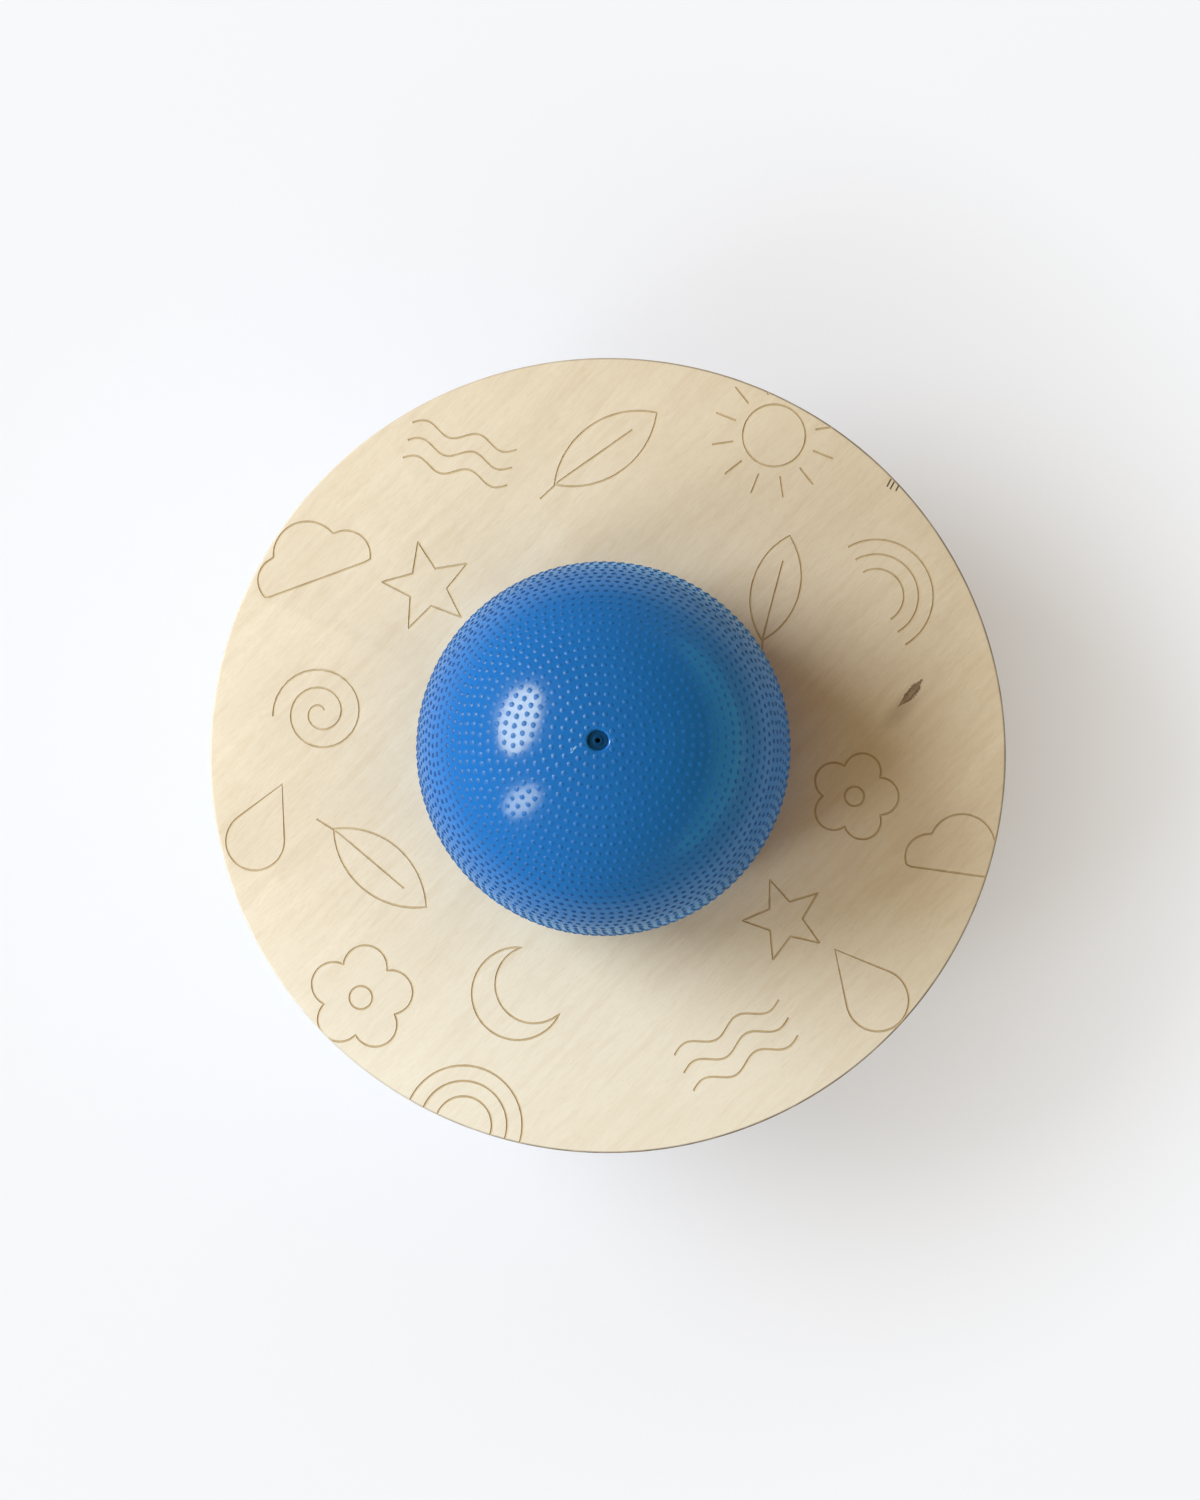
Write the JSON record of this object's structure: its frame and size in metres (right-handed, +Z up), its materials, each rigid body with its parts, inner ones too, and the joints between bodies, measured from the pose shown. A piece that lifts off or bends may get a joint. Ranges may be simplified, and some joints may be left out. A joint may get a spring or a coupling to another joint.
{
  "type": "pogo ball",
  "caption": "Round plywood jumping deck with a studded inflatable ball necked through its centre hole; the rider grips the upper lobe and the lower lobe squashes on each bounce.",
  "frame": {"origin": "centre of the flat patch that the ball stands on, at ground level", "axes": "+Z up along the common axis of the ball and the deck; +X to the right and +Y to the top of the picture, which looks straight down"},
  "size_m": [0.38, 0.38, 0.2709],
  "materials": {
    "birch_face": "clear satin lacquer over pale birch",
    "birch_core_along": "bare sanded edge of long grain",
    "birch_core_across": "bare sanded edge of end grain",
    "ball_vinyl": "glossy moulded vinyl with small round studs",
    "valve_rubber": "soft dark rubber"
  },
  "bodies": {
    "deck": {"deck_top_veneer": "birch_face", "deck_core_ply_02": "birch_core_across", "deck_core_ply_03": "birch_core_along", "deck_core_ply_04": "birch_core_across", "deck_core_ply_05": "birch_core_along", "deck_core_ply_06": "birch_core_across", "deck_core_ply_07": "birch_core_along", "deck_core_ply_08": "birch_core_across", "deck_core_ply_09": "birch_core_along", "deck_core_ply_10": "birch_core_across", "deck_bottom_veneer": "birch_face", "upper_lobe": "ball_vinyl", "lower_lobe": "ball_vinyl", "valve_plug": "valve_rubber"},
    "ball_foot": {"floor_patch": "ball_vinyl"}
  },
  "joints": [
    {"name": "bounce", "type": "slide", "parent": "deck", "child": "ball_foot", "axis": [0, 0, 1], "range_m": [0, 0.045], "stiffness_N_per_m": 15000, "springref_m": -0.002, "deforming": ["lower_lobe"]}
  ]
}
